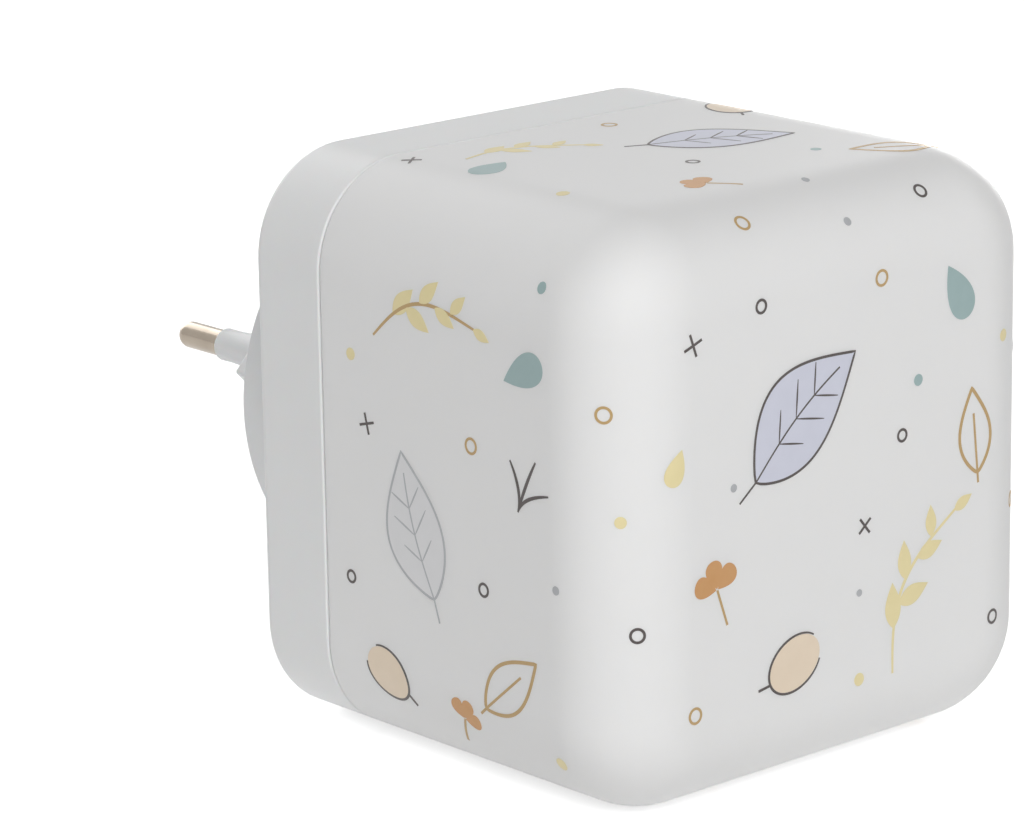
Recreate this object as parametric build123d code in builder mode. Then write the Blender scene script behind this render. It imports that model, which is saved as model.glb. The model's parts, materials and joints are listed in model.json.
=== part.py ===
# Plug-in night light: a hollow rounded cube shade on a square base, which turns on a two-pin plug.
# Millimetres. The origin lies midway between the pins, where their bare metal begins. +Y points into
# the wall, the light faces -Y, +X is to the right seen from the front, and +Z is up.
import os
from math import cos, hypot, radians, sin

from build123d import *

# Outline shared by the shade and the base
body_side = 80.0
body_corner = 14.5

# Shade
shade_depth = 58.2
shade_wall = 2.0
shade_front_round = 12.5
seam_gap = 0.25
seam_round = 0.35

# Base tray
base_depth = 13.8
base_wall = 2.6
base_floor = 2.2
base_rim_round = 1.7
lip_height = 4.0
lip_wall = 1.6
lip_clearance = 0.25
lip_root = 3.0
lip_round = 0.4

# Plug boss: a long six-sided block, slightly drawn in towards its end face
boss_height = 16.5
boss_foot_length = 39.6
boss_foot_width = 14.2
boss_foot_flat = 26.6
boss_end_length = 37.4
boss_end_width = 13.9
boss_end_flat = 23.8
boss_edge_round = 0.5

# Pins and their flared sleeves
pin_spacing = 18.6
pin_diameter = 4.0
pin_bare_length = 10.4
pin_shank_diameter = 3.2
pin_collar_diameter = 7.0
pin_collar_thickness = 1.5
pin_fit = 0.02
sleeve_length = 13.5
sleeve_base_diameter = 8.4
sleeve_tip_diameter = 4.9
sleeve_flare = 40.0
sleeve_spigot_length = 6.0

# Round turret behind the base
turret_height = 16.0
turret_disc_diameter = 62.4
turret_foot_diameter = 64.0
turret_wall = 3.0
turret_disc_thickness = 3.0
turret_edge_round = 0.4
turret_gap = 0.2
step_depth = 1.0
step_angle = -35.0
slit_angle = 18.0
slit_height = 1.3

# Swivel neck, retainer and stop
neck_diameter = 48.0
neck_wall = 2.5
neck_clearance = 0.08
retainer_flange = 4.0
retainer_window_diameter = 31.0
retainer_thickness = 2.0
washer_space = 0.6
washer_thickness = 0.4
washer_width = 1.2
swivel_half_range = 90.0
stop_angle = -90.0
stop_width_angle = 8.0
stop_spare_angle = 1.0
stop_thickness = 1.6
stop_clearance = 0.4

# Screws and caps of the plug
plug_screw_offset = 19.0
plug_screw_diameter = 3.0
plug_screw_head_diameter = 5.6
plug_screw_head_height = 1.7
plug_screw_head_round = 0.6
plug_screw_recess_diameter = 6.8
plug_screw_recess_depth = 2.0
plug_screw_recess_chamfer = 0.35
plug_screw_post_diameter = 7.0
plug_screw_fit = 0.02
cross_length = 3.4
cross_width = 0.8
cross_depth = 0.9
cap_offset = 24.2
cap_diameter = 6.6
cap_thickness = 1.8
cap_clearance = 0.12
cap_round = 0.2
cap_notch_diameter = 0.9
cap_notch_depth = 0.8
cap_notch_angle = 120.0

# Driver board and its parts
board_clearance = 4.8
board_thickness = 1.6
board_space = 1.3
board_post_count = 4
board_post_inset = 2.0
board_post_diameter = 4.2
board_screw_diameter = 2.0
board_screw_head_diameter = 3.6
board_screw_head_height = 1.1
board_screw_bite = 5.0
dropper_length = 14.0
dropper_width = 9.0
dropper_height = 6.5
dropper_round = 0.8
dropper_place = (-9.0, 15.0)
rectifier_length = 4.8
rectifier_width = 4.0
rectifier_height = 2.5
rectifier_chamfer = 0.4
rectifier_place = (9.0, 14.0)
smoothing_diameter = 6.3
smoothing_length = 12.0
smoothing_groove = 0.4
smoothing_place = (12.0, -12.0)
fuse_diameter = 3.2
fuse_length = 9.0
fuse_bead = 0.4
fuse_bead_round = 0.35
fuse_place = (-12.0, -12.0)
seat_gap = 0.05

# Contacts between the pins and the board
contact_thickness = 0.5
contact_width = 4.0
contact_stand_off = 2.3
contact_bend_length = 10.0
contact_gap = 0.05
track_inner_diameter = 12.0
track_outer_diameter = 24.0
track_width = 2.4
track_thickness = 0.3

# Light deck, lamps and links
deck_thickness = 2.0
deck_clearance = 0.15
deck_round = 0.4
deck_post_inset = 7.0
deck_post_diameter = 6.4
deck_screw_diameter = 2.5
deck_screw_head_diameter = 4.6
deck_screw_head_height = 1.4
deck_screw_bite = 6.0
deck_window_length = 9.0
deck_window_width = 5.0
led_board_diameter = 42.0
led_board_thickness = 1.2
led_count = 8
led_ring_diameter = 28.0
led_length = 3.5
led_width = 2.8
led_height = 0.8
led_gel_diameter = 2.2
led_gel_depth = 0.4
led_screw_offset = 17.5
led_screw_diameter = 2.0
led_screw_head_diameter = 3.6
led_screw_head_height = 1.2
led_screw_bite = 1.6
link_side = 0.64
link_pitch = 2.54

# Heads of the inner screws: a soft edge and a cross recess, as shares of the head
inner_head_round = 0.3
inner_cross_reach = 0.6
inner_cross_slot = 0.15
inner_cross_depth = 0.5

# Depths, measured from the origin towards the front of the light
end_depth = sleeve_length
disc_depth = end_depth + boss_height
foot_depth = disc_depth + turret_height - turret_gap
back_depth = disc_depth + turret_height
floor_depth = back_depth + base_floor
neck_depth = floor_depth + washer_space
retainer_depth = neck_depth + retainer_thickness
board_depth = retainer_depth + board_space
board_front_depth = board_depth + board_thickness
seam_depth = back_depth + base_depth
lip_depth = seam_depth + lip_height
deck_back_depth = lip_depth - deck_thickness
led_board_depth = lip_depth + led_board_thickness
shade_back_depth = seam_depth + seam_gap
collar_depth = disc_depth + turret_disc_thickness
pin_root_depth = collar_depth + pin_collar_thickness

# Sizes that follow from a fit
shade_inner_side = body_side - 2 * shade_wall
shade_inner_corner = body_corner - shade_wall
lip_side = shade_inner_side - 2 * lip_clearance
lip_corner = shade_inner_corner - lip_clearance
lip_inner_side = lip_side - 2 * lip_wall
lip_inner_corner = lip_corner - lip_wall
deck_side = lip_inner_side - 2 * deck_clearance
deck_corner = lip_inner_corner - deck_clearance
deck_post_offset = deck_side / 2 - deck_post_inset
deck_post_reach = hypot(deck_post_offset, deck_post_offset)
board_radius = deck_post_reach - deck_post_diameter / 2 - board_clearance
board_post_radius = board_radius - board_post_inset
retainer_diameter = neck_diameter + 2 * retainer_flange
washer_radius = neck_diameter / 2 + neck_clearance + washer_width
notch_radius = washer_radius + stop_clearance
stop_inner_radius = notch_radius + stop_clearance
stop_outer_radius = retainer_diameter / 2
stop_start = stop_angle - stop_width_angle / 2
plug_screw_length = retainer_depth - disc_depth - plug_screw_recess_depth
turret_inner_radius = turret_disc_diameter / 2 - step_depth - turret_wall
plug_screw_places = [(0, plug_screw_offset), (0, -plug_screw_offset)]
cap_places = [(cap_offset, 0), (-cap_offset, 0)]
led_screw_places = [(led_screw_offset, 0), (-led_screw_offset, 0)]
deck_post_places = [
    (across * deck_post_offset, up * deck_post_offset)
    for across in (-1, 1)
    for up in (-1, 1)
]
board_post_angles = [radians(360 / board_post_count * number) for number in range(board_post_count)]
board_post_places = [
    (board_post_radius * cos(angle), board_post_radius * sin(angle))
    for angle in board_post_angles
]
pin_sides = {"left": -pin_spacing / 2, "right": pin_spacing / 2}
pin_places = [(x, 0) for x in pin_sides.values()]


def station(depth):
    """Upright plane at a depth, looking along the light's axis with X right and Z up."""
    return Plane.XZ.offset(depth)


def pin_axis(x):
    """Line along a pin, pointing into the wall."""
    return Axis((x, 0, 0), (0, 1, 0))


def six_sided(length, width, flat):
    """Outline of the plug: straight long sides that close to a point at both ends."""
    Polygon(
        (length / 2, 0),
        (flat / 2, width / 2),
        (-flat / 2, width / 2),
        (-length / 2, 0),
        (-flat / 2, -width / 2),
        (flat / 2, -width / 2),
        align=None,
    )


def ring_sector(inner, outer, start, sweep):
    """Part of a flat ring, from a start angle round through a sweep."""
    with BuildSketch() as sector:
        with BuildLine():
            outer_arc = CenterArc((0, 0), outer, start, sweep)
            inner_arc = CenterArc((0, 0), inner, start, sweep)
            Line(outer_arc @ 0, inner_arc @ 0)
            Line(outer_arc @ 1, inner_arc @ 1)
        make_face()
    return sector.sketch


def inner_screws(places, seat_depth, head, head_height, shank, bite, facing):
    """Cross-head screws with their heads on a seat, facing the front of the light (1) or the wall (-1)."""
    with BuildPart() as screws:
        with BuildSketch(station(seat_depth)):
            with Locations(*places):
                Circle(head / 2)
        extrude(amount=facing * head_height)
        tops = screws.faces().group_by(Axis.Y)[0 if facing > 0 else -1]
        fillet(tops.edges(), head_height * inner_head_round)
        with BuildSketch(station(seat_depth + facing * head_height)):
            with Locations(*places):
                Rectangle(head * inner_cross_reach, head * inner_cross_slot)
                Rectangle(head * inner_cross_slot, head * inner_cross_reach)
        extrude(amount=-facing * head_height * inner_cross_depth, mode=Mode.SUBTRACT)
        with BuildSketch(station(seat_depth)):
            with Locations(*places):
                Circle(shank / 2)
        extrude(amount=-facing * bite)
    return screws


def finish(part, name):
    """Name a finished piece and write its file."""
    part.label = name
    export_step(part, f"parts/{name}.step")


os.makedirs("parts", exist_ok=True)

# Shade: a rounded cube with an even wall, open towards the base
with BuildPart() as shade:
    with BuildSketch(station(shade_back_depth)):
        RectangleRounded(body_side, body_side, body_corner)
    extrude(amount=shade_depth)
    fillet(shade.faces().sort_by(Axis.Y)[0].edges(), shade_front_round)
    offset(amount=-shade_wall, openings=shade.faces().sort_by(Axis.Y)[-1])
    fillet(shade.faces().sort_by(Axis.Y)[-1].edges(), seam_round)
finish(shade.part, "shade")

# Base tray: flat back with a soft rim, a hole for the neck, posts, and the lip that carries the shade
with BuildPart() as base_housing:
    with BuildSketch(station(back_depth)):
        RectangleRounded(body_side, body_side, body_corner)
    extrude(amount=base_depth)
    fillet(base_housing.faces().sort_by(Axis.Y)[-1].edges(), base_rim_round)
    fillet(base_housing.faces().sort_by(Axis.Y)[0].edges(), seam_round)
    with BuildSketch(station(floor_depth)):
        RectangleRounded(body_side - 2 * base_wall, body_side - 2 * base_wall, body_corner - base_wall)
    extrude(amount=base_depth - base_floor, mode=Mode.SUBTRACT)
    with BuildSketch(station(seam_depth - lip_root)):
        RectangleRounded(lip_side, lip_side, lip_corner)
        RectangleRounded(lip_inner_side, lip_inner_side, lip_inner_corner, mode=Mode.SUBTRACT)
    extrude(amount=lip_root + lip_height)
    fillet(base_housing.faces().sort_by(Axis.Y)[0].edges(), lip_round)
    with BuildSketch(station(back_depth)):
        Circle(neck_diameter / 2 + neck_clearance)
    extrude(amount=base_floor, mode=Mode.SUBTRACT)
    with BuildSketch(station(floor_depth)):
        with Locations(*deck_post_places):
            Circle(deck_post_diameter / 2)
    extrude(amount=deck_back_depth - floor_depth)
    with BuildSketch(station(floor_depth)):
        add(ring_sector(stop_inner_radius, stop_outer_radius, stop_start, stop_width_angle))
    extrude(amount=washer_space + stop_thickness)
    with BuildSketch(station(deck_back_depth)):
        with Locations(*deck_post_places):
            Circle(deck_screw_diameter / 2)
    extrude(amount=-deck_screw_bite, mode=Mode.SUBTRACT)
finish(base_housing.part, "base_housing")

# Plug head: hollow turret with a stepped wall, neck, screw posts and the six-sided boss
with BuildPart() as plug_head:
    with BuildSketch(station(disc_depth)):
        Circle(turret_disc_diameter / 2)
    with BuildSketch(station(foot_depth)):
        Circle(turret_foot_diameter / 2)
    loft()
    with BuildSketch(station(disc_depth)):
        add(ring_sector(turret_disc_diameter / 2 - step_depth, turret_foot_diameter, step_angle, -180))
    extrude(amount=turret_height, mode=Mode.SUBTRACT)
    fillet(plug_head.faces().sort_by(Axis.Y)[-1].edges().filter_by(GeomType.CIRCLE), turret_edge_round)
    with BuildSketch(station(disc_depth + turret_disc_thickness)):
        Circle(turret_inner_radius)
    extrude(amount=turret_height, mode=Mode.SUBTRACT)
    with BuildSketch(station(foot_depth)):
        add(ring_sector(turret_inner_radius - turret_wall, turret_foot_diameter, step_angle, slit_angle))
    extrude(amount=-slit_height, mode=Mode.SUBTRACT)
    with BuildSketch(station(disc_depth + turret_disc_thickness)):
        Circle(neck_diameter / 2)
        Circle(neck_diameter / 2 - neck_wall, mode=Mode.SUBTRACT)
        with Locations(*plug_screw_places):
            Circle(plug_screw_post_diameter / 2)
    extrude(amount=neck_depth - disc_depth - turret_disc_thickness)
    with BuildSketch(station(end_depth)):
        six_sided(boss_end_length, boss_end_width, boss_end_flat)
    with BuildSketch(station(disc_depth)):
        six_sided(boss_foot_length, boss_foot_width, boss_foot_flat)
    loft()
    boss_edges = plug_head.edges().filter_by_position(Axis.Y, -disc_depth, -end_depth, (False, True))
    fillet(boss_edges, boss_edge_round)
    with BuildSketch(station(end_depth)):
        with Locations(*pin_places):
            Circle(pin_shank_diameter / 2 + pin_fit)
    extrude(amount=collar_depth - end_depth, mode=Mode.SUBTRACT)
    with BuildSketch(station(end_depth)):
        with Locations(*pin_places):
            Circle(sleeve_base_diameter / 2 + pin_fit)
    extrude(amount=sleeve_spigot_length, mode=Mode.SUBTRACT)
    with BuildSketch(station(disc_depth)):
        with Locations(*plug_screw_places):
            Circle(plug_screw_recess_diameter / 2)
    extrude(amount=plug_screw_recess_depth, mode=Mode.SUBTRACT)
    with BuildSketch(station(disc_depth)):
        with Locations(*plug_screw_places):
            Circle(plug_screw_recess_diameter / 2 + plug_screw_recess_chamfer)
    extrude(amount=plug_screw_recess_chamfer, taper=45, mode=Mode.SUBTRACT)
    with BuildSketch(station(disc_depth)):
        with Locations(*plug_screw_places):
            Circle(plug_screw_diameter / 2 + plug_screw_fit)
    extrude(amount=neck_depth - disc_depth, mode=Mode.SUBTRACT)
    with BuildSketch(station(disc_depth)):
        with Locations(*cap_places):
            Circle(cap_diameter / 2 + cap_clearance)
    extrude(amount=cap_thickness, mode=Mode.SUBTRACT)
finish(plug_head.part, "plug_head")

# Insulating sleeves: a spigot in the boss, and a flare that narrows towards the bare metal
spigot_depth = end_depth + sleeve_spigot_length
for side, x in pin_sides.items():
    with BuildPart() as sleeve:
        with BuildSketch(Plane.XY):
            with BuildLine():
                steps = Polyline(
                    (x + pin_shank_diameter / 2 + pin_fit, 0),
                    (x + pin_shank_diameter / 2 + pin_fit, -spigot_depth),
                    (x + sleeve_base_diameter / 2, -spigot_depth),
                    (x + sleeve_base_diameter / 2, -end_depth),
                )
                flare = RadiusArc(steps @ 1, (x + sleeve_tip_diameter / 2, 0), sleeve_flare)
                Line(flare @ 1, steps @ 0)
            make_face()
        revolve(axis=pin_axis(x))
    finish(sleeve.part, f"pin_sleeve_{side}")

# Pins: bare metal with a domed tip, a thinner shank under the sleeve, and a collar inside the disc
dome_centre = pin_bare_length - pin_diameter / 2
for side, x in pin_sides.items():
    with BuildPart() as pin:
        with BuildSketch(Plane.XY):
            with BuildLine():
                steps = Polyline(
                    (x, -pin_root_depth),
                    (x + pin_collar_diameter / 2, -pin_root_depth),
                    (x + pin_collar_diameter / 2, -collar_depth),
                    (x + pin_shank_diameter / 2, -collar_depth),
                    (x + pin_shank_diameter / 2, 0),
                    (x + pin_diameter / 2, 0),
                    (x + pin_diameter / 2, dome_centre),
                )
                dome = CenterArc((x, dome_centre), pin_diameter / 2, 0, 90)
                Line(dome @ 1, steps @ 0)
            make_face()
        revolve(axis=pin_axis(x))
    finish(pin.part, f"plug_pin_{side}")

# Plug screws: cross heads down in the recesses, shanks through the posts into the retainer
screw_seat_depth = disc_depth + plug_screw_recess_depth
screw_top_depth = screw_seat_depth - plug_screw_head_height
with BuildPart() as plug_screws:
    with BuildSketch(station(screw_top_depth)):
        with Locations(*plug_screw_places):
            Circle(plug_screw_head_diameter / 2)
    extrude(amount=plug_screw_head_height)
    fillet(plug_screws.faces().sort_by(Axis.Y)[-2:].edges(), plug_screw_head_round)
    with BuildSketch(station(screw_seat_depth)):
        with Locations(*plug_screw_places):
            Circle(plug_screw_diameter / 2)
    extrude(amount=plug_screw_length)
    with BuildSketch(station(screw_top_depth)):
        with Locations(*plug_screw_places):
            Rectangle(cross_length, cross_width)
            Rectangle(cross_width, cross_length)
    extrude(amount=cross_depth, mode=Mode.SUBTRACT)
finish(plug_screws.part, "plug_screws")

# Flush caps in the turret disc, with two small notches each to pry them out
with BuildPart() as screw_caps:
    with BuildSketch(station(disc_depth)):
        with Locations(*cap_places):
            Circle(cap_diameter / 2)
    extrude(amount=cap_thickness)
    fillet(screw_caps.faces().sort_by(Axis.Y)[-2:].edges(), cap_round)
    with BuildSketch(station(disc_depth)):
        with Locations(*cap_places):
            with PolarLocations(cap_diameter / 2, 2, start_angle=cap_notch_angle):
                Circle(cap_notch_diameter / 2)
    extrude(amount=cap_notch_depth, mode=Mode.SUBTRACT)
finish(screw_caps.part, "screw_caps")

# Retainer: a ring against the neck's end, with a rim cut away where the base's stop travels
stop_sweep = 2 * swivel_half_range + stop_width_angle + 2 * stop_spare_angle
with BuildPart() as swivel_retainer:
    with BuildSketch(station(neck_depth)):
        Circle(retainer_diameter / 2)
        Circle(retainer_window_diameter / 2, mode=Mode.SUBTRACT)
        with Locations(*plug_screw_places):
            Circle(plug_screw_diameter / 2 + plug_screw_fit, mode=Mode.SUBTRACT)
    extrude(amount=retainer_thickness)
    with BuildSketch(station(neck_depth)):
        add(ring_sector(notch_radius, retainer_diameter, stop_angle - stop_sweep / 2, stop_sweep))
    extrude(amount=retainer_thickness, mode=Mode.SUBTRACT)
finish(swivel_retainer.part, "swivel_retainer")

with BuildPart() as swivel_washer:
    with BuildSketch(station(neck_depth - washer_thickness)):
        Circle(washer_radius)
        Circle(neck_diameter / 2 + neck_clearance, mode=Mode.SUBTRACT)
    extrude(amount=washer_thickness)
finish(swivel_washer.part, "swivel_washer")

# Driver board, with two brass tracks on the side that faces the plug
with BuildPart() as driver_board:
    with BuildSketch(station(board_depth)):
        Circle(board_radius)
        with Locations(*board_post_places):
            Circle(board_screw_diameter / 2, mode=Mode.SUBTRACT)
    extrude(amount=board_thickness)
finish(driver_board.part, "driver_board")

track_diameters = {"inner": track_inner_diameter, "outer": track_outer_diameter}
for name, diameter in track_diameters.items():
    with BuildPart() as track:
        with BuildSketch(station(board_depth - track_thickness)):
            Circle((diameter + track_width) / 2)
            Circle((diameter - track_width) / 2, mode=Mode.SUBTRACT)
        extrude(amount=track_thickness)
    finish(track.part, f"contact_ring_{name}")

# Wipers: bent strips from the pins' inner ends to the tracks
strip_root_depth = pin_root_depth + contact_thickness / 2
strip_foot_depth = board_depth - track_thickness - contact_gap - contact_thickness / 2
wiper_feet = {"left": track_inner_diameter / 2, "right": track_outer_diameter / 2}
for side, x in pin_sides.items():
    out = 1 if x > 0 else -1
    bend = x + out * contact_stand_off
    foot = out * wiper_feet[side]
    with BuildPart() as wiper:
        with BuildSketch(Plane.XY) as strip:
            with BuildLine():
                Polyline(
                    (x - out * pin_diameter / 2, -strip_root_depth),
                    (bend, -strip_root_depth),
                    (bend, -strip_root_depth - contact_bend_length),
                    (foot - out * track_width / 4, -strip_foot_depth),
                    (foot + out * track_width / 4, -strip_foot_depth),
                )
            trace(line_width=contact_thickness)
        extrude(amount=contact_width / 2, both=True)
    finish(wiper.part, f"contact_wiper_{side}")

board_screws = inner_screws(
    board_post_places,
    board_depth,
    board_screw_head_diameter,
    board_screw_head_height,
    board_screw_diameter,
    board_thickness + board_screw_bite,
    facing=-1,
)
finish(board_screws.part, "board_screws")

# Driver parts, all on the front of the board
with BuildPart() as dropper_capacitor:
    with BuildSketch(station(board_front_depth)):
        with Locations(dropper_place):
            Rectangle(dropper_length, dropper_width)
    extrude(amount=dropper_height)
    fillet(dropper_capacitor.edges().filter_by(Axis.Y), dropper_round)
    fillet(dropper_capacitor.faces().sort_by(Axis.Y)[0].edges(), dropper_round / 2)
finish(dropper_capacitor.part, "dropper_capacitor")

with BuildPart() as bridge_rectifier:
    with BuildSketch(station(board_front_depth)):
        with Locations(rectifier_place):
            Rectangle(rectifier_length, rectifier_width)
    extrude(amount=rectifier_height)
    chamfer(bridge_rectifier.faces().sort_by(Axis.Y)[0].edges(), rectifier_chamfer)
finish(bridge_rectifier.part, "bridge_rectifier")

smoothing_axis_depth = board_front_depth + smoothing_diameter / 2 + seat_gap
with BuildPart() as smoothing_capacitor:
    with BuildSketch(Plane.YZ.offset(smoothing_place[0] - smoothing_length / 2)):
        with Locations((-smoothing_axis_depth, smoothing_place[1])):
            Circle(smoothing_diameter / 2)
    extrude(amount=smoothing_length)
    fillet(smoothing_capacitor.edges().filter_by(GeomType.CIRCLE), smoothing_groove)
finish(smoothing_capacitor.part, "smoothing_capacitor")

fuse_axis_depth = board_front_depth + fuse_diameter / 2 + fuse_bead + seat_gap
with BuildPart() as fuse_resistor:
    with BuildSketch(Plane.YZ.offset(fuse_place[0] - fuse_length / 2)):
        with Locations((-fuse_axis_depth, fuse_place[1])):
            Circle(fuse_diameter / 2)
    extrude(amount=fuse_length)
    for start in (fuse_place[0] - fuse_length / 2, fuse_place[0] + fuse_length / 4):
        with BuildSketch(Plane.YZ.offset(start)):
            with Locations((-fuse_axis_depth, fuse_place[1])):
                Circle(fuse_diameter / 2 + fuse_bead)
        extrude(amount=fuse_length / 4)
    fillet(fuse_resistor.edges().filter_by(GeomType.CIRCLE).group_by(SortBy.RADIUS)[-1], fuse_bead_round)
finish(fuse_resistor.part, "fuse_resistor")

# Light deck: a plate with a window for the links, and posts that the driver board hangs on
with BuildPart() as light_deck:
    with BuildSketch(station(deck_back_depth)):
        RectangleRounded(deck_side, deck_side, deck_corner)
        Rectangle(deck_window_length, deck_window_width, mode=Mode.SUBTRACT)
        with Locations(*deck_post_places):
            Circle(deck_screw_diameter / 2, mode=Mode.SUBTRACT)
    extrude(amount=deck_thickness)
    fillet(light_deck.faces().sort_by(Axis.Y)[0].outer_wire().edges(), deck_round)
    with BuildSketch(station(lip_depth)):
        with Locations(*led_screw_places):
            Circle(led_screw_diameter / 2)
    extrude(amount=-led_screw_bite, mode=Mode.SUBTRACT)
    with BuildSketch(station(board_front_depth)):
        with Locations(*board_post_places):
            Circle(board_post_diameter / 2)
            Circle(board_screw_diameter / 2, mode=Mode.SUBTRACT)
    extrude(amount=deck_back_depth - board_front_depth)
finish(light_deck.part, "light_deck")

deck_screws = inner_screws(
    deck_post_places,
    lip_depth,
    deck_screw_head_diameter,
    deck_screw_head_height,
    deck_screw_diameter,
    deck_thickness + deck_screw_bite,
    facing=1,
)
finish(deck_screws.part, "deck_screws")

# LED board with its ring of lamps and the two link pins
with BuildPart() as led_board:
    with BuildSketch(station(lip_depth)):
        Circle(led_board_diameter / 2)
        with Locations(*led_screw_places):
            Circle(led_screw_diameter / 2, mode=Mode.SUBTRACT)
    extrude(amount=led_board_thickness)
finish(led_board.part, "led_board")

led_front_depth = led_board_depth + led_height
with BuildPart() as leds:
    with BuildSketch(station(led_board_depth)):
        with PolarLocations(led_ring_diameter / 2, led_count, start_angle=180 / led_count):
            Rectangle(led_width, led_length)
    extrude(amount=led_height)
    with BuildSketch(station(led_front_depth)):
        with PolarLocations(led_ring_diameter / 2, led_count, start_angle=180 / led_count):
            Circle(led_gel_diameter / 2)
    extrude(amount=-led_gel_depth, mode=Mode.SUBTRACT)
finish(leds.part, "leds")

with BuildPart() as led_gels:
    with BuildSketch(station(led_front_depth)):
        with PolarLocations(led_ring_diameter / 2, led_count, start_angle=180 / led_count):
            Circle(led_gel_diameter / 2)
    extrude(amount=-led_gel_depth)
finish(led_gels.part, "led_gels")

led_screws = inner_screws(
    led_screw_places,
    led_board_depth,
    led_screw_head_diameter,
    led_screw_head_height,
    led_screw_diameter,
    led_board_thickness + led_screw_bite,
    facing=1,
)
finish(led_screws.part, "led_screws")

with BuildPart() as board_links:
    with BuildSketch(station(board_front_depth)):
        with GridLocations(link_pitch, link_pitch, 2, 1):
            Rectangle(link_side, link_side)
    extrude(amount=lip_depth - board_front_depth)
finish(board_links.part, "board_links")
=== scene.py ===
# Looks of a plug-in night light: a printed opal shade on a white base with a turning two-pin plug
import json
from math import cos, pi, radians, sin

import bmesh
import bpy
import numpy as np
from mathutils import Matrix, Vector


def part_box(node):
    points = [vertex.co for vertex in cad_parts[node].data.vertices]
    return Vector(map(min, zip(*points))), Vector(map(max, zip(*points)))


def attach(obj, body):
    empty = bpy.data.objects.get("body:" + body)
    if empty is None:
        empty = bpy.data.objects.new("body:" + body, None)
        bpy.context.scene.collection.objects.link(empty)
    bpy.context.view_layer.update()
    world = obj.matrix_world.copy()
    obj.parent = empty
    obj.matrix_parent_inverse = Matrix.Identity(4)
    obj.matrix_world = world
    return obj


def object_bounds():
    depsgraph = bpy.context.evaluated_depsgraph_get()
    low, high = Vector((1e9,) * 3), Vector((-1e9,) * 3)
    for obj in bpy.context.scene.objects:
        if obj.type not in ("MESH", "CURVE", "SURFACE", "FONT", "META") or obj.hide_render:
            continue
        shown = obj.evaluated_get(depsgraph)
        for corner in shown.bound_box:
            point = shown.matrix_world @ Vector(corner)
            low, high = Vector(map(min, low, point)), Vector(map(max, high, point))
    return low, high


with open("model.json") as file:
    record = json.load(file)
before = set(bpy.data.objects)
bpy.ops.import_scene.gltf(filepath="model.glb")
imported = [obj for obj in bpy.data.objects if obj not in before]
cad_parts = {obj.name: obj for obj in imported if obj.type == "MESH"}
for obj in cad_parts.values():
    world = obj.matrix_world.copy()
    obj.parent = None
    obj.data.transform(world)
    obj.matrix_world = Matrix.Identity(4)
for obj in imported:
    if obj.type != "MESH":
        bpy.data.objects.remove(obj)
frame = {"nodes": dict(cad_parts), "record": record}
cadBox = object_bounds()
nodes = frame["nodes"]
mm = 0.001
print("frame loaded:", len(nodes), "nodes")


# Shader tools

class Flow:
    # one output socket; arithmetic on it adds Math nodes to the same tree
    def __init__(self, tree, socket):
        self.tree = tree
        self.socket = socket

    def __add__(self, other):
        return self.tree.math("ADD", self, other)

    def __sub__(self, other):
        return self.tree.math("SUBTRACT", self, other)

    def __rsub__(self, other):
        return self.tree.math("SUBTRACT", other, self)

    def __mul__(self, other):
        return self.tree.math("MULTIPLY", self, other)

    __radd__ = __add__
    __rmul__ = __mul__


class Tree:
    # a node tree: node() adds every node, the rest are short forms of it
    def __init__(self, tree):
        self.tree = tree

    def node(self, kind, settings=None, sockets=None):
        # settings are set first, then the sockets get their values or links
        made = self.tree.nodes.new(kind)
        for key, value in (settings or {}).items():
            setattr(made, key, value)
        for key, value in (sockets or {}).items():
            self.fill(made.inputs[key], value)
        return made

    def fill(self, socket, value):
        # an output is linked, anything else is set as the socket's own value
        if isinstance(value, Flow):
            value = value.socket
        if isinstance(value, bpy.types.NodeSocket):
            self.tree.links.new(value, socket)
        else:
            socket.default_value = value

    def math(self, operation, *values):
        made = self.node("ShaderNodeMath", {"operation": operation}, dict(enumerate(values)))
        return Flow(self, made.outputs[0])

    def seen(self):
        # one where the eye, a reflection or a clear part looks, nought for light that falls on things
        rays = self.node("ShaderNodeLightPath").outputs
        direct = self.math("MAXIMUM", rays["Is Camera Ray"], rays["Is Glossy Ray"])
        return self.math("MAXIMUM", direct, rays["Is Transmission Ray"])


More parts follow.
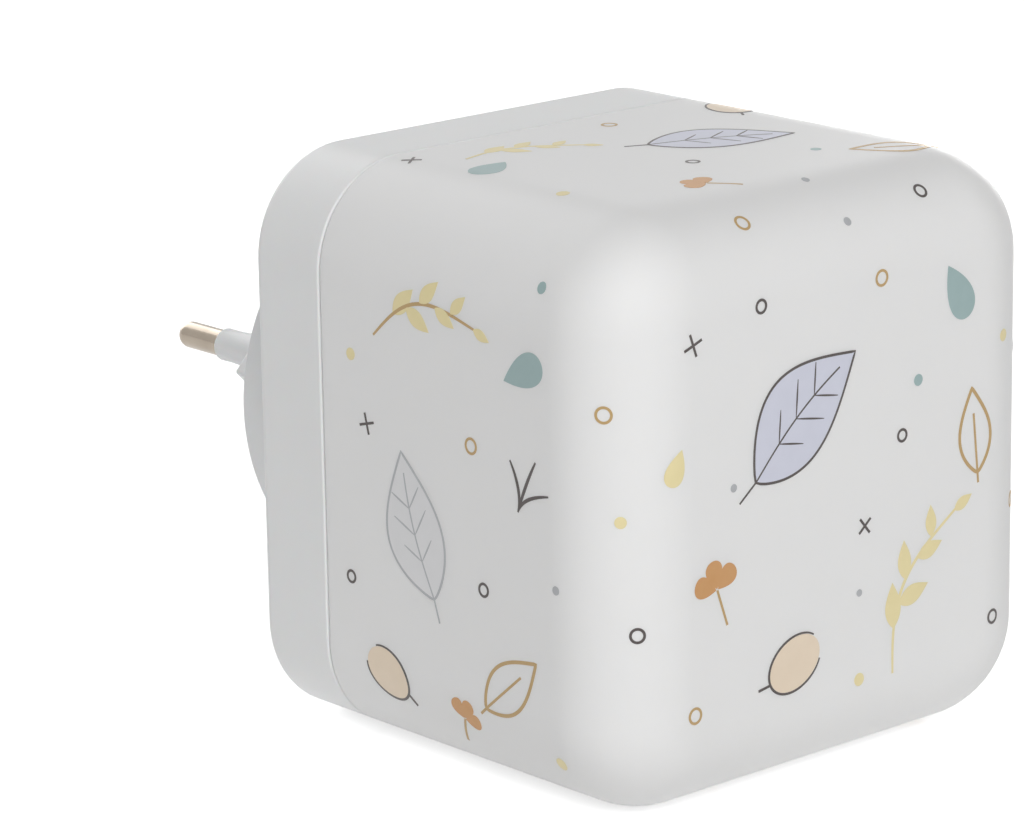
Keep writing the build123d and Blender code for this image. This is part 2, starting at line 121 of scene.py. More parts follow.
class Finish(Tree):
    # a material on Object coordinates
    def __init__(self, name, constants):
        self.material = bpy.data.materials.new(name)
        self.material.use_nodes = True
        super().__init__(self.material.node_tree)
        self.shader = self.tree.nodes["Principled BSDF"]
        for socket, value in constants.items():
            self.shader.inputs[socket].default_value = value
        self.place = self.node("ShaderNodeTexCoord").outputs["Object"]

    def feed(self, socket, value):
        self.fill(self.shader.inputs[socket], value)

    def radius(self, first, second):
        # distance from one axis: the root of the squares along the two others
        along = self.node("ShaderNodeSeparateXYZ", None, {0: self.place}).outputs
        a = Flow(self, along[first])
        b = Flow(self, along[second])
        return self.math("SQRT", a * a + b * b)

    def noise(self, scale, detail=2.0, stretch=(1, 1, 1)):
        # cloudy values about one half, drawn out along an axis where stretch is small
        place = self.node("ShaderNodeMapping", None, {"Vector": self.place, "Scale": stretch})
        sockets = {"Vector": place.outputs[0], "Scale": scale, "Detail": detail}
        return Flow(self, self.node("ShaderNodeTexNoise", None, sockets).outputs[0])

    def blend(self, mask, first, second):
        # mask 0 shows the first colour and mask 1 the second
        sockets = {0: mask, 6: (*first, 1), 7: (*second, 1)}
        made = self.node("ShaderNodeMix", {"data_type": "RGBA"}, sockets)
        return Flow(self, made.outputs[2])

    def band(self, value, middle, half, soft):
        # one within half of the middle, fading to nought over soft
        off = self.math("ABSOLUTE", value - middle)
        sockets = {"Value": off, "From Min": half + soft, "From Max": half}
        made = self.node("ShaderNodeMapRange", {"interpolation_type": "SMOOTHSTEP"}, sockets)
        return Flow(self, made.outputs[0])

    def bump(self, height, distance, strength):
        # height of one stands out by distance
        sockets = {"Height": height, "Distance": distance, "Strength": strength}
        self.feed("Normal", self.node("ShaderNodeBump", None, sockets).outputs[0])


# Finishes of the record's material slots: grains are noise scales, reliefs and depths are in metres

opal = {
    "light": (0.885, 0.883, 0.878),
    "shaded": (0.866, 0.865, 0.861),
    "scatterShare": 0.30,
    "scatterDepth": 0.0022,
    "scatterTint": (1.0, 0.95, 0.88),
    "specular": 0.30,
    "index": 1.49,
    "roughness": 0.44,
    "uneven": 0.08,
    "clouds": 38.0,
    "grain": 1900.0,
    "waves": 26.0,
    "waveHeight": 6.0,
    "relief": 0.00002,
    "reliefStrength": 0.25,
}


def opalFinish():
    # milky plastic: faint clouding, a satin moulded grain and light that spreads under the skin
    finish = Finish("shadeOpal", {
        "Subsurface Weight": opal["scatterShare"],
        "Subsurface Radius": opal["scatterTint"],
        "Subsurface Scale": opal["scatterDepth"],
        "Specular IOR Level": opal["specular"],
        "IOR": opal["index"],
    })
    clouds = finish.noise(opal["clouds"], detail=3)
    grain = finish.noise(opal["grain"], detail=1)
    waves = finish.noise(opal["waves"])
    finish.feed("Base Color", finish.blend(clouds, opal["light"], opal["shaded"]))
    finish.feed("Roughness", opal["roughness"] + clouds * opal["uneven"])
    finish.bump(grain + waves * opal["waveHeight"], opal["relief"], opal["reliefStrength"])
    return finish.material


whitePlastic = {
    "scatterShare": 0.08,
    "scatterDepth": 0.001,
    "specular": 0.36,
    "index": 1.5,
    "fade": 0.03,
    "uneven": 0.10,
    "flow": 55.0,
    "flowHeight": 5.0,
    "marks": 240.0,
    "grain": 2600.0,
    "relief": 0.00002,
    "reliefStrength": 0.22,
}
whites = {
    "housingWhite": {"colour": (0.865, 0.872, 0.872), "roughness": 0.37},
    "plugWhite": {"colour": (0.875, 0.884, 0.888), "roughness": 0.37},
    "capWhite": {"colour": (0.865, 0.876, 0.882), "roughness": 0.33},
    "deckWhite": {"colour": (0.88, 0.88, 0.87), "roughness": 0.51},
}


def whiteFinish(name):
    # moulded white plastic: fine spark grain, slow flow shading and handling marks in the gloss
    look = whites[name]
    finish = Finish(name, {
        "Subsurface Weight": whitePlastic["scatterShare"],
        "Subsurface Scale": whitePlastic["scatterDepth"],
        "Specular IOR Level": whitePlastic["specular"],
        "IOR": whitePlastic["index"],
    })
    flow = finish.noise(whitePlastic["flow"], detail=3)
    marks = finish.noise(whitePlastic["marks"], detail=4)
    grain = finish.noise(whitePlastic["grain"], detail=1)
    dull = tuple(part - whitePlastic["fade"] for part in look["colour"])
    height = grain + flow * whitePlastic["flowHeight"]
    finish.feed("Base Color", finish.blend(flow, look["colour"], dull))
    finish.feed("Roughness", look["roughness"] + marks * whitePlastic["uneven"])
    finish.bump(height, whitePlastic["relief"], whitePlastic["reliefStrength"])
    return finish.material


plating = {
    "stainAndReflection": 160.0,
    "stainDullness": 0.06,
    "lines": 420.0,
    "lineDullness": 0.10,
    "lineFineness": 14.0,
    "relief": 0.00001,
    "reliefStrength": 0.35,
}
# axis is the one that the tool lines run round: 0 for X, 1 for Y, 2 for Z
# the pin nickel's dark brownish colour and darker worn tone are painted dark reflection; the screw steel's
# grey is partly painted dark reflection too
metals = {
    "pinNickel": {"colour": (0.44, 0.385, 0.32), "wornAndDarkReflection": (0.27, 0.225, 0.18),
                  "roughness": 0.16, "axis": 1},
    "screwSteel": {"colour": (0.47, 0.465, 0.45), "wornAndDarkReflection": (0.29, 0.285, 0.27),
                   "roughness": 0.28, "axis": 1},
    "contactBrass": {"colour": (0.76, 0.58, 0.27), "wornAndDarkReflection": (0.58, 0.42, 0.18),
                     "roughness": 0.24, "axis": 2},
}


def metalFinish(name):
    # plated metal: tool lines round the axis, stain in patches and a gloss that the lines break up; on the
    # pins the dark base colour and the darker patches are painted dark reflection
    look = metals[name]
    finish = Finish(name, {"Metallic": 1.0})
    stretch = [1.0, 1.0, 1.0]
    stretch[look["axis"]] = plating["lineFineness"]
    stainAndReflection = finish.noise(plating["stainAndReflection"], detail=4)
    lines = finish.noise(plating["lines"], detail=2, stretch=stretch)
    dullness = lines * plating["lineDullness"] + stainAndReflection * plating["stainDullness"]
    # on the pins, and partly on the screws, this blend paints dark reflection into the colour; on the
    # brass it is stain
    finish.feed("Base Color", finish.blend(stainAndReflection, look["colour"], look["wornAndDarkReflection"]))
    finish.feed("Roughness", look["roughness"] + dullness)
    finish.bump(lines, plating["relief"], plating["reliefStrength"])
    return finish.material


partSkin = {"index": 1.5, "uneven": 0.12, "relief": 0.00002, "reliefStrength": 0.3}
smallParts = {
    "retainerGrey": {"colour": (0.60, 0.61, 0.62), "deep": (0.54, 0.55, 0.56),
                     "roughness": 0.46, "grain": 900.0},
    "boardGreen": {"colour": (0.05, 0.24, 0.12), "deep": (0.03, 0.17, 0.08),
                   "roughness": 0.34, "grain": 300.0},
    "capacitorYellow": {"colour": (0.74, 0.50, 0.09), "deep": (0.66, 0.43, 0.07),
                        "roughness": 0.30, "grain": 500.0},
    "partBlack": {"colour": (0.030, 0.030, 0.032), "deep": (0.02, 0.02, 0.021),
                  "roughness": 0.42, "grain": 1200.0},
    "resistorBlue": {"colour": (0.20, 0.38, 0.50), "deep": (0.16, 0.31, 0.43),
                     "roughness": 0.33, "grain": 700.0},
    "ledWhite": {"colour": (0.86, 0.86, 0.84), "deep": (0.81, 0.81, 0.79),
                 "roughness": 0.38, "grain": 1500.0},
    "ledPhosphor": {"colour": (0.86, 0.69, 0.22), "deep": (0.80, 0.59, 0.13),
                    "roughness": 0.20, "grain": 1800.0},
}


def partFinish(name):
    # moulded, lacquered or gelled small part: two close tones in patches over an orange-peel skin
    look = smallParts[name]
    finish = Finish(name, {"IOR": partSkin["index"]})
    patches = finish.noise(look["grain"], detail=3)
    finish.feed("Base Color", finish.blend(patches, look["colour"], look["deep"]))
    finish.feed("Roughness", look["roughness"] + patches * partSkin["uneven"])
    finish.bump(patches, partSkin["relief"], partSkin["reliefStrength"])
    return finish.material


lampRing = 14.0  # radius of the ring of lamps on their board, in millimetres
ledMask = {
    "mask": (0.85, 0.86, 0.85),
    "track": (0.78, 0.80, 0.78),
    "trackHalf": 0.85,
    "trackEdge": 0.12,
    "trackDullness": 0.04,
    "weave": 700.0,
    "weaveDullness": 0.06,
    "weaveHeight": 0.02,
    "roughness": 0.25,
    "index": 1.5,
    "relief": 0.00005,
    "reliefStrength": 0.5,
}


def ledBoardFinish():
    # white solder mask over a ring-shaped copper track, which shows as a raised and slightly darker band
    finish = Finish("ledBoardWhite", {"IOR": ledMask["index"]})
    radius = finish.radius("X", "Z")
    track = finish.band(radius, lampRing * mm, ledMask["trackHalf"] * mm, ledMask["trackEdge"] * mm)
    weave = finish.noise(ledMask["weave"], detail=2)
    dullness = weave * ledMask["weaveDullness"] + track * ledMask["trackDullness"]
    height = track + weave * ledMask["weaveHeight"]
    finish.feed("Base Color", finish.blend(track, ledMask["mask"], ledMask["track"]))
    finish.feed("Roughness", ledMask["roughness"] + dullness)
    finish.bump(height, ledMask["relief"], ledMask["reliefStrength"])
    return finish.material


finishes = {
    "shade_opal": opalFinish(),
    "housing_white": whiteFinish("housingWhite"),
    "plug_white": whiteFinish("plugWhite"),
    "cap_white": whiteFinish("capWhite"),
    "deck_white": whiteFinish("deckWhite"),
    "pin_nickel": metalFinish("pinNickel"),
    "screw_steel": metalFinish("screwSteel"),
    "contact_brass": metalFinish("contactBrass"),
    "retainer_grey": partFinish("retainerGrey"),
    "board_green": partFinish("boardGreen"),
    "capacitor_yellow": partFinish("capacitorYellow"),
    "part_black": partFinish("partBlack"),
    "resistor_blue": partFinish("resistorBlue"),
    "led_board_white": ledBoardFinish(),
    "led_white": partFinish("ledWhite"),
    "led_phosphor": partFinish("ledPhosphor"),
}
for part in frame["record"]["subparts"]:
    node = nodes[part["node"]]
    node.data.materials.clear()
    node.data.materials.append(finishes[part["material_slot"]])
print("finishes made:", len(finishes))


# Mesh tools

def gridQuads(rows, columns, wrapRows, wrapColumns):
    # quads between neighbouring points of a grid; a wrapped direction closes on itself
    i = np.arange(rows if wrapRows else rows - 1)[:, None]
    j = np.arange(columns if wrapColumns else columns - 1)[None, :]
    below = (i + 1) % rows
    beside = (j + 1) % columns
    corners = [i * columns + j, i * columns + beside, below * columns + beside, below * columns + j]
    return np.stack(corners, axis=-1).reshape(-1, 4)


# points nearer than merge metres become one, and edges sharper than crispAngle degrees stay crisp
seams = {"merge": 2e-7, "crispAngle": 50.0}


def makePiece(name, patches, body, material):
    # patches are closed shells: points in metres on a grid, and whether its rows and columns wrap
    points, quads, start = [], [], 0
    for grid, wrapRows, wrapColumns in patches:
        rows, columns = grid.shape[:2]
        points.append(grid.reshape(-1, 3))
        quads.append(gridQuads(rows, columns, wrapRows, wrapColumns) + start)
        start += rows * columns
    mesh = bpy.data.meshes.new(name)
    mesh.from_pydata(np.concatenate(points), [], np.concatenate(quads).tolist())
    work = bmesh.new()
    work.from_mesh(mesh)
    bmesh.ops.remove_doubles(work, verts=work.verts, dist=seams["merge"])
    bmesh.ops.recalc_face_normals(work, faces=work.faces)
    work.to_mesh(mesh)
    work.free()
    mesh.shade_smooth()
    mesh.set_sharp_from_angle(angle=radians(seams["crispAngle"]))
    mesh.materials.append(material)
    piece = bpy.data.objects.new(name, mesh)
    bpy.context.scene.collection.objects.link(piece)
    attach(piece, body)


# Print on the shade: flat motifs, laid on the curved skin as thin films of ink

shadeLow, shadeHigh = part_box("shade")
skin = {
    "half": shadeHigh.x,
    "front": shadeLow.y,
    "corner": 14.5 * mm,
    "frontRound": 12.5 * mm,
    "slides": 60,
}


def roundGap(a, b, radius):
    # distance to a rounded corner, where a and b are the ways out from the middle of its round
    return np.hypot(np.maximum(a, 0), np.maximum(b, 0)) + np.minimum(np.maximum(a, b), 0) - radius


def skinGap(points):
    # distance to the outer skin: first to the rounded square in X and Z, then over the front edge's round
    core = skin["half"] - skin["corner"]
    side = roundGap(np.abs(points[..., 0]) - core, np.abs(points[..., 2]) - core, skin["corner"])
    ahead = skin["front"] - points[..., 1]
    return roundGap(side + skin["frontRound"], ahead + skin["frontRound"], skin["frontRound"])


# each side's outward normal and its upward direction
sides = {
    "front": ((0, -1, 0), (0, 0, 1)),
    "left": ((-1, 0, 0), (0, 0, 1)),
    "right": ((1, 0, 0), (0, 0, 1)),
    "top": ((0, 0, 1), (0, 1, 0)),
    "under": ((0, 0, -1), (0, 1, 0)),
    "leftEdge": ((-1, -1, 0), (0, 0, 1)),
    "rightEdge": ((1, -1, 0), (0, 0, 1)),
    "topEdge": ((0, -1, 1), (0, 1, 1)),
}


def layOnSkin(flat, side, lift):
    # start well outside, in the side's own plane, and slide in along its normal until lift above the skin
    normal, up = (np.array(way) / np.linalg.norm(way) for way in sides[side])
    across = np.cross(up, normal)
    middle = np.array([0, skin["front"] + skin["half"], 0])
    points = middle + flat[..., :1] * across + flat[..., 1:] * up + normal * skin["half"] * 2
    for slide in range(skin["slides"]):
        points = points - normal * (skinGap(points) - lift)[..., None]
    return points


# millimetres that a film is sunk below the skin, and that each mark of a motif stands above the one before
film = {"sunk": 0.01, "step": 0.003}


def inkFilm(flat, closed, side, lift):
    # a mark as a closed film: across its top, back along its sunk underside, drawn to a point at open ends
    top = layOnSkin(flat * mm, side, lift * mm)
    under = layOnSkin(flat * mm, side, -film["sunk"] * mm)
    loop = np.concatenate([top, under[:, ::-1]], axis=1)
    if not closed:
        tips = [np.broadcast_to(end.mean(axis=0), end.shape)[None] for end in (loop[0], loop[-1])]
        loop = np.concatenate([tips[0], loop, tips[1]])
    return loop, closed, True


def turned(flat, angle):
    # plane points turned about the origin
    c, s = cos(radians(angle)), sin(radians(angle))
    return np.stack([flat[..., 0] * c - flat[..., 1] * s, flat[..., 0] * s + flat[..., 1] * c], axis=-1)


# how many points each kind of mark has, along it or across it
counts = {"lineAcross": 3, "areaAcross": 9, "leaf": 36, "leafEdge": 48, "round": 30, "arc": 48,
          "straight": 12, "stalk": 40, "blade": 24}
pen = {"fine": 0.26, "outline": 0.36, "stalk": 0.50}  # widths of the lines in millimetres


def ribbon(path, width, closed=False, taper=0.0):
    # an inked line: every path point spread half a width to both sides, thinner at the ends by taper
    if closed:
        along = np.roll(path, -1, axis=0) - np.roll(path, 1, axis=0)
    else:
        along = np.gradient(path, axis=0)
    along = along / np.linalg.norm(along, axis=1, keepdims=True)
    normal = np.stack([-along[:, 1], along[:, 0]], axis=1)
    half = width / 2 * (1 - taper * np.linspace(-1, 1, len(path)) ** 2)
    spread = half[:, None] * np.linspace(-1, 1, counts["lineAcross"])
    return path[:, None, :] + normal[:, None, :] * spread[..., None], closed


def fillArea(along, middle, half):
    # a filled mark: a row of points from edge to edge at every place along it
    across = np.linspace(-1, 1, counts["areaAcross"])
    x = np.repeat(along[:, None], counts["areaAcross"], axis=1)
    return np.stack([x, middle[:, None] + half[:, None] * across], axis=-1), False


leafSwell = 0.82  # below one, leaves are widest nearer their stalk


def leafWidth(t):
    # share of the half width from stalk to tip: half a wave over t to the power of the swell
    return np.sin(pi * t ** leafSwell)


def leafArea(length, width, bow=0.0):
    # t runs from stalk to tip; the middle line bows to one side as half a wave
    t = np.linspace(0, 1, counts["leaf"])
    return fillArea(length * (t - 0.5), bow * np.sin(pi * t), width / 2 * leafWidth(t))


def leafEdge(length, width, bow=0.0):
    # outline of the same leaf: up one edge and back along the other
    count = counts["leafEdge"]
    t = np.concatenate([np.linspace(0, 1, count), np.linspace(1, 0, count)[1:-1]])
    hand = np.sign(count - 0.5 - np.arange(len(t)))
    return np.stack([length * (t - 0.5), hand * width / 2 * leafWidth(t) + bow * np.sin(pi * t)], axis=1)


dropForm = {"width": 0.56, "middle": 0.4, "gather": 1.6, "peak": 0.385}


def dropArea(length, width):
    # teardrop: the half width goes as the root of t times the way left to the tip, over that curve's peak
    t = np.linspace(0, 1, counts["round"]) ** dropForm["gather"]
    share = np.sqrt(t) * (1 - t) / dropForm["peak"]
    return fillArea(length * (t - dropForm["middle"]), 0 * t, width / 2 * share)


def ovalArea(length, width):
    # ellipse, by the angle from one end to the other
    a = np.linspace(0, pi, counts["round"])
    return fillArea(-length / 2 * np.cos(a), 0 * a, width / 2 * np.sin(a))


def arc(length, width, start, sweep):
    # part of an ellipse, by angle
    a = np.radians(np.linspace(start, start + sweep, counts["arc"]))
    return np.stack([length / 2 * np.cos(a), width / 2 * np.sin(a)], axis=1)


def straight(start, end):
    # even steps from start to end
    t = np.linspace(0, 1, counts["straight"])[:, None]
    return np.array(start) * (1 - t) + np.array(end) * t


# Motifs: every length in the forms below is a share of the motif's size

broadForm = {
    "width": 0.56,
    "bow": 0.05,
    "rib": (-0.16, 0.86),
    "veins": (0.26, 0.44, 0.62),
    "veinReach": 0.30,
    "veinSlant": 0.9,
    "veinTaper": 0.6,
}


def broadLeaf(size, fill, edge):
    # filled leaf with an outline, a middle rib that runs out into a stalk, and three pairs of veins
    width, bow = size * broadForm["width"], size * broadForm["bow"]
    t = np.linspace(*broadForm["rib"], counts["stalk"])
    rib = np.stack([size * (t - 0.5), bow * np.sin(pi * np.clip(t, 0, 1))], axis=1)
    marks = [(fill, leafArea(size, width, bow)),
             (edge, ribbon(leafEdge(size, width, bow), pen["outline"], True)),
             (edge, ribbon(rib, pen["fine"]))]
    for t in broadForm["veins"]:
        root = np.array([size * (t - 0.5), bow * sin(pi * t)])
        reach = width * broadForm["veinReach"] * leafWidth(t)
        for hand in (-1, 1):
            vein = straight(root, root + np.array([reach * broadForm["veinSlant"], hand * reach]))
            marks.append((edge, ribbon(vein, pen["fine"], taper=broadForm["veinTaper"])))
    return marks


openForm = {"width": 0.5, "rib": ((-0.62, 0), (0.2, 0))}


def openLeaf(size, edge):
    # outline and rib only
    return [(edge, ribbon(leafEdge(size, size * openForm["width"]), pen["stalk"], True)),
            (edge, ribbon(straight(*openForm["rib"]) * size, pen["outline"]))]


# leaves are given by their place along the stalk and their turn in degrees
sprigForm = {
    "rise": 0.16,
    "wave": 1.1,
    "stalkTaper": 0.35,
    "leaves": ((0.22, 30), (0.36, -44), (0.50, 30), (0.64, -44), (0.78, 30), (0.97, -36)),
    "leafLength": 0.30,
    "leafShrink": 0.15,
    "leafWidth": 0.46,
    "leafSeat": 0.55,
}


def sprig(size, stalk, leaf):
    # stalk on a little over half a wave, with leaves that shrink towards the tip
    rise = size * sprigForm["rise"]
    wave = pi * sprigForm["wave"]
    t = np.linspace(0, 1, counts["stalk"])
    path = np.stack([size * (t - 0.5), rise * np.sin(wave * t)], axis=1)
    marks = [(stalk, ribbon(path, pen["stalk"], taper=sprigForm["stalkTaper"]))]
    for t, turn in sprigForm["leaves"]:
        root = np.array([size * (t - 0.5), rise * sin(wave * t)])
        length = size * (sprigForm["leafLength"] - sprigForm["leafShrink"] * t)
        flat, closed = leafArea(length, length * sprigForm["leafWidth"])
        flat = turned(flat + np.array([length * sprigForm["leafSeat"], 0]), turn)
        marks.append((leaf, (flat + root, closed)))
    return marks


def drop(size, fill):
    # one teardrop
    return [(fill, dropArea(size, size * dropForm["width"]))]


trefoilForm = {
    "stalk": ((0, 0), (0.08, -0.62)),
    "leafLength": 0.46,
    "leafWidth": 0.34,
    "reach": 0.30,
    "turns": (30, 90, 150),
}


def trefoil(size, fill, stalk):
    # three drops that meet at their tips, on a short stalk
    marks = [(stalk, ribbon(straight(*trefoilForm["stalk"]) * size, pen["outline"]))]
    for turn in trefoilForm["turns"]:
        flat, closed = dropArea(size * trefoilForm["leafLength"], size * trefoilForm["leafWidth"])
        marks.append((fill, (turned(np.array([size * trefoilForm["reach"], 0]) - flat, turn), closed)))
    return marks


seedForm = {
    "width": 0.72,
    "rim": (1.04, 0.76),
    "rimStart": 25,
    "rimSweep": 300,
    "rimTaper": 0.4,
    "stalk": ((-0.52, 0), (-0.74, 0.06)),
}


def seed(size, fill, edge):
    # oval with an outline that stays open at one end, and a short stalk
    rim = arc(*seedForm["rim"], seedForm["rimStart"], seedForm["rimSweep"]) * size
    return [(fill, ovalArea(size, size * seedForm["width"])),
            (edge, ribbon(rim, pen["outline"], taper=seedForm["rimTaper"])),
            (edge, ribbon(straight(*seedForm["stalk"]) * size, pen["outline"]))]


# lean and height of each blade
tuftForm = {"blades": ((-0.45, 0.72), (0.10, 1.0), (0.55, 0.62)), "taper": 0.5}


def tuft(size, edge):
    # blades of grass that fan out from one root, each leaning with the square of its height
    marks = []
    t = np.linspace(0, 1, counts["blade"])
    for lean, height in tuftForm["blades"]:
        path = np.stack([size * lean * t ** 2, size * height * t], axis=1)
        marks.append((edge, ribbon(path, pen["stalk"], taper=tuftForm["taper"])))
    return marks


def cross(size, edge):
    # two lines that cross at their middles
    half = size / 2
    return [(edge, ribbon(straight((-half, 0), (half, 0)), pen["outline"])),
            (edge, ribbon(straight((0, -half), (0, half)), pen["outline"]))]


def ring(size, edge):
    # the arc stops one step short of a full turn, where the closed line meets its start
    sweep = 360 * (1 - 1 / counts["arc"])
    return [(edge, ribbon(arc(size, size, 0, sweep), pen["outline"], True))]


def dot(size, fill):
    # a filled circle
    return [(fill, ovalArea(size, size))]


# colour of each ink and how far its film stands above the skin, in millimetres
inks = {
    "lavender": {"colour": (0.675, 0.69, 0.80), "lift": 0.030},
    "mist": {"colour": (0.775, 0.775, 0.785), "lift": 0.030},
    "peach": {"colour": (0.86, 0.715, 0.55), "lift": 0.030},
    "straw": {"colour": (0.86, 0.745, 0.40), "lift": 0.032},
    "ochre": {"colour": (0.62, 0.31, 0.10), "lift": 0.032},
    "teal": {"colour": (0.33, 0.46, 0.46), "lift": 0.032},
    "gold": {"colour": (0.52, 0.34, 0.13), "lift": 0.036},
    "grey": {"colour": (0.45, 0.46, 0.48), "lift": 0.036},
    "umber": {"colour": (0.055, 0.040, 0.036), "lift": 0.036},
}

# each motif's function and its inks
motifs = {
    "violetLeaf": (broadLeaf, "lavender", "umber"),
    "paleLeaf": (broadLeaf, "mist", "grey"),
    "goldLeaf": (openLeaf, "gold"),
    "strawSprig": (sprig, "straw", "straw"),
    "goldSprig": (sprig, "gold", "straw"),
    "tealDrop": (drop, "teal"),
    "strawDrop": (drop, "straw"),
    "clover": (trefoil, "ochre", "gold"),
    "seed": (seed, "peach", "umber"),
    "tuft": (tuft, "umber"),
    "umberCross": (cross, "umber"),
    "goldRing": (ring, "gold"),
    "umberRing": (ring, "umber"),
    "strawDot": (dot, "straw"),
    "greyDot": (dot, "grey"),
    "tealDot": (dot, "teal"),
}

# motif, millimetres across and up from the middle of the side, turn in degrees, size in millimetres
layout = {
    "front": [
        ("violetLeaf", -7, 11, 38, 23), ("strawSprig", 15, -17, 62, 24), ("tealDrop", 22, 22, 118, 8.5),
        ("clover", -23, -9, 12, 8.5), ("seed", -9, -22, 24, 9.5), ("goldLeaf", 25, 3, 96, 12),
        ("umberCross", -27, 24, 20, 3.2), ("umberCross", 4, -6, 40, 2.8), ("strawDrop", -30, 8, 70, 5),
        ("goldRing", 7, 27, 0, 2), ("umberRing", -15, 27, 0, 1.7), ("umberRing", 29, -24, 0, 1.8),
        ("goldRing", -27, -25, 0, 2), ("umberRing", 11, 5, 0, 1.6), ("greyDot", -20, 4, 0, 1.1),
        ("strawDot", 3, -27, 0, 1.8), ("tealDot", 14, 12, 0, 1.6), ("strawDot", 31, 15, 0, 1.7),
        ("greyDot", 3, -15, 0, 1),
    ],
    "left": [
        ("paleLeaf", 1, -5, 108, 20), ("goldSprig", 3, 22, 14, 21), ("tealDrop", 23, 20, 205, 8),
        ("goldLeaf", 19, -23, 40, 13), ("seed", -6, -27, 150, 8.5), ("tuft", 21, 1, -20, 8),
        ("umberCross", -9, 7, 15, 3), ("clover", 9, -30, -30, 6.5), ("goldRing", 12, 8, 0, 2),
        ("umberRing", 14, -11, 0, 1.7), ("greyDot", 28, -8, 0, 1.2), ("strawDot", -12, 16, 0, 1.7),
        ("tealDot", 25, 31, 0, 1.5), ("umberRing", -13, -15, 0, 1.6), ("strawDot", 27, -32, 0, 1.8),
    ],
    "top": [
        ("violetLeaf", 11, -6, -24, 21), ("tealDrop", -24, 2, 20, 8), ("clover", -10, -25, 30, 7.5),
        ("goldLeaf", 23, -26, 150, 11), ("strawSprig", -13, 7, -12, 18), ("seed", 27, 9, 70, 8),
        ("umberRing", -2, -14, 0, 1.7), ("goldRing", 7, 12, 0, 2), ("strawDot", -27, -16, 0, 1.8),
        ("greyDot", 2, -31, 0, 1.1), ("umberCross", -27, 14, 35, 2.8), ("tealDot", 15, -20, 0, 1.5),
    ],
    "right": [
        ("violetLeaf", -4, 9, 142, 21), ("strawSprig", -20, -16, 75, 22), ("clover", -24, 18, -15, 8),
        ("tealDrop", 8, -10, -60, 8), ("goldLeaf", 4, -26, 10, 12), ("seed", 9, 26, 110, 8.5),
        ("umberCross", -10, -5, 10, 3), ("goldRing", -12, 26, 0, 2), ("umberRing", 13, 4, 0, 1.7),
        ("strawDot", -28, 1, 0, 1.8), ("greyDot", -7, -31, 0, 1.1), ("umberRing", -30, -30, 0, 1.7),
    ],
    "under": [
        ("paleLeaf", -9, -9, 30, 20), ("goldSprig", 15, -22, 95, 20), ("tealDrop", 22, 5, 140, 8),
        ("clover", -22, 9, 0, 7.5), ("seed", 2, 9, 200, 8), ("goldLeaf", -22, -26, 60, 11),
        ("goldRing", 8, -10, 0, 2), ("umberRing", -28, -8, 0, 1.7), ("strawDot", 4, -29, 0, 1.8),
        ("umberCross", 27, -11, 25, 2.8),
    ],
    "leftEdge": [
        ("goldRing", -2, 16, 0, 2), ("umberRing", 2, -13, 0, 1.8), ("strawDot", 0, 2, 0, 1.6),
    ],
    "rightEdge": [
        ("umberRing", 1, 12, 0, 1.8), ("goldRing", -2, -9, 0, 2), ("strawDot", 1, 24, 0, 1.6),
    ],
    "topEdge": [
        ("goldRing", -14, 1, 0, 2), ("greyDot", 3, -2, 0, 1.2), ("umberRing", 18, 0, 0, 1.8),
    ],
}

inkSkin = {"index": 1.49, "cover": 420.0, "thinness": 0.06, "roughness": 0.36, "uneven": 0.10}


def inkFinish(name):
    # printed film: slightly uneven cover and a satin skin like the plastic below it
    thinness = inkSkin["thinness"]
    full = tuple(part * (1 - thinness) for part in inks[name]["colour"])
    thin = tuple(part + thinness for part in full)
    finish = Finish("ink" + name.title(), {"IOR": inkSkin["index"]})
    cover = finish.noise(inkSkin["cover"], detail=4)
    finish.feed("Base Color", finish.blend(cover, full, thin))
    finish.feed("Roughness", inkSkin["roughness"] + cover * inkSkin["uneven"])
    return finish.material


def printShade():
    # each ink becomes one piece; the marks of a motif stand a little higher in turn, so none share a face
    films = {name: [] for name in inks}
    for side, places in layout.items():
        for motif, across, up, turn, size in places:
            draw, *colours = motifs[motif]
            for number, (ink, (flat, closed)) in enumerate(draw(size, *colours)):
                placed = turned(flat, turn) + np.array([across, up])
                lift = inks[ink]["lift"] + film["step"] * number
                films[ink].append(inkFilm(placed, closed, side, lift))
    for name, patches in films.items():
        makePiece("print_" + name, patches, "shade", inkFinish(name))


printShade()
print("print laid on the shade:", sum(len(places) for places in layout.values()), "motifs")


# Solder on the lamp board: a tinned fillet at both ends of every lamp

solder = {
    "count": 8,
    "reach": 2.0,
    "radial": 1.9,
    "along": 0.9,
    "height": 0.3,
    "squareness": 0.5,
    "rings": 8,
    "spokes": 28,
}


def squared(wave):
    # a sine or cosine drawn towards its ends, which turns a circle into a rounded rectangle
    return np.sign(wave) * np.abs(wave) ** solder["squareness"]


def solderFillets():
    # low pillow: rings of a rounded rectangle that rise to the middle as a quarter ellipse
    r = np.linspace(1, 0, solder["rings"])[:, None]
    a = np.linspace(0, 2 * pi, solder["spokes"], endpoint=False)[None, :]
    x = r * solder["radial"] / 2 * squared(np.cos(a)) + lampRing
    z = r * solder["along"] / 2 * squared(np.sin(a))
    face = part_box("led_board")[0].y / mm
    y = face - solder["height"] * np.sqrt(1 - r ** 2) + 0 * a
    patches = []
    for number in range(2 * solder["count"]):
        angle = 2 * pi * (number // 2 + 0.5) / solder["count"]
        side = z + solder["reach"] * (1 if number % 2 else -1)
        points = [x * cos(angle) - side * sin(angle), y, x * sin(angle) + side * cos(angle)]
        patches.append((np.stack(points, axis=-1) * mm, False, True))
    makePiece("lamp_solder", patches, "base", finishes["screw_steel"])


solderFillets()
print("lamps soldered:", solder["count"])


# Stage, in metres and watts: floor, light and the camera that took the photograph's front view

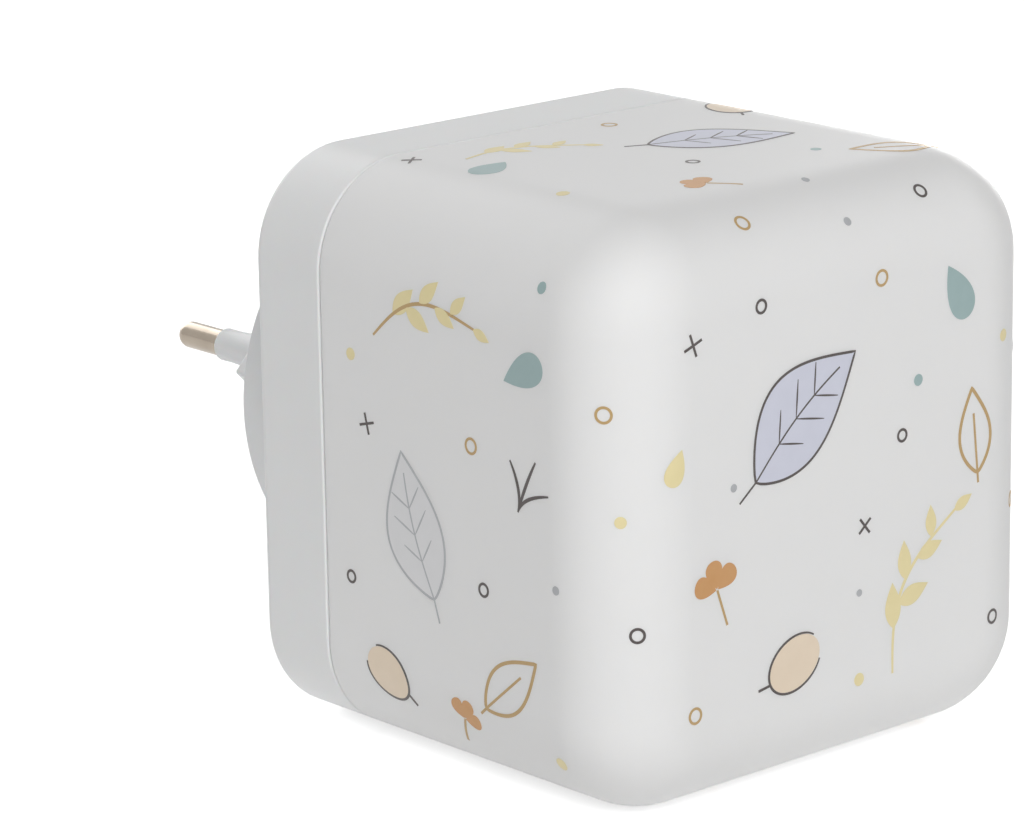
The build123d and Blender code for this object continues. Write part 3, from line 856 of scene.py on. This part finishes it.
stage = {
    "floor": shadeLow.z - 0.4 * mm,
    "reach": 6.0,
    "rings": (1.0, 0.5, 0.2, 0.05, 0.0),
    "spokes": 48,
    "floorColour": (0.93, 0.93, 0.93, 1),
    "floorRoughness": 0.9,
    "floorGlow": 0.64,
    "litReach": 0.5,
    "litFade": 1.5,
    "ambient": 0.09,
}
lamps = {
    "key": {"place": (-0.70, -1.16, 0.95), "size": 1.3, "power": 19.5},
    "rear": {"place": (0.25, 1.35, 0.60), "size": 1.0, "power": 8.6},
    "side": {"place": (1.35, 0.72, 0.22), "size": 0.5, "power": 8.2},
}
view = {
    "place": (-0.4130, -0.5223, 0.1653),
    "turn": (74.946, 0.935, -41.596),
    "lens": 161.3,
    "sensor": 36.0,
    "nearest": 0.01,
}


def makeFloor():
    # a flat disc of rings, clear from below, that glows more where the lamps no longer reach it
    r = np.array(stage["rings"])[:, None] * stage["reach"]
    a = np.linspace(0, 2 * pi, stage["spokes"], endpoint=False)[None, :]
    points = np.stack([r * np.cos(a), r * np.sin(a), stage["floor"] + 0 * r * a], axis=-1)
    quads = gridQuads(len(stage["rings"]), stage["spokes"], False, True)
    mesh = bpy.data.meshes.new("floor")
    mesh.from_pydata(points.reshape(-1, 3), [], quads.tolist())
    floor = bpy.data.objects.new("floor", mesh)
    bpy.context.scene.collection.objects.link(floor)
    finish = Finish("floorPale", {
        "Base Color": stage["floorColour"],
        "Roughness": stage["floorRoughness"],
        "Emission Strength": 1.0,
    })
    lit = finish.band(finish.radius("X", "Y"), 0.0, stage["litReach"], stage["litFade"])
    glow = finish.seen() * (1 - lit * (1 - stage["floorGlow"]))
    finish.feed("Emission Color", finish.blend(glow, (0, 0, 0), (1, 1, 1)))
    clear = finish.node("ShaderNodeBsdfTransparent").outputs[0]
    below = finish.node("ShaderNodeNewGeometry").outputs["Backfacing"]
    both = finish.node("ShaderNodeMixShader", None, {0: below, 1: finish.shader.outputs[0], 2: clear})
    finish.fill(finish.tree.nodes["Material Output"].inputs["Surface"], both.outputs[0])
    mesh.materials.append(finish.material)


def makeWorld():
    # white to the eye and in reflections, dimmer as light on the object
    world = bpy.data.worlds.new("studio")
    world.use_nodes = True
    bpy.context.scene.world = world
    sky = Tree(world.node_tree)
    strength = stage["ambient"] + sky.seen() * (1 - stage["ambient"])
    background = world.node_tree.nodes["Background"]
    sky.fill(background.inputs["Color"], (1, 1, 1, 1))
    sky.fill(background.inputs["Strength"], strength)


def makeLamps():
    # square soft boxes that look at the middle of the object
    middle = (cadBox[0] + cadBox[1]) / 2
    for name, look in lamps.items():
        light = bpy.data.lights.new(name, "AREA")
        light.size = look["size"]
        light.energy = look["power"]
        lamp = bpy.data.objects.new(name, light)
        lamp.location = look["place"]
        lamp.rotation_mode = "QUATERNION"
        lamp.rotation_quaternion = (middle - lamp.location).to_track_quat("-Z", "Y")
        bpy.context.scene.collection.objects.link(lamp)


def makeCamera():
    # turn is in degrees about X, Y and Z
    camera = bpy.data.cameras.new("camera")
    camera.lens = view["lens"]
    camera.sensor_width = view["sensor"]
    camera.clip_start = view["nearest"]
    seat = bpy.data.objects.new("camera", camera)
    seat.location = view["place"]
    seat.rotation_euler = [radians(angle) for angle in view["turn"]]
    bpy.context.scene.collection.objects.link(seat)
    bpy.context.scene.camera = seat


makeFloor()
makeWorld()
makeLamps()
makeCamera()
bpy.context.scene.view_settings.view_transform = "Standard"
print("stage set")
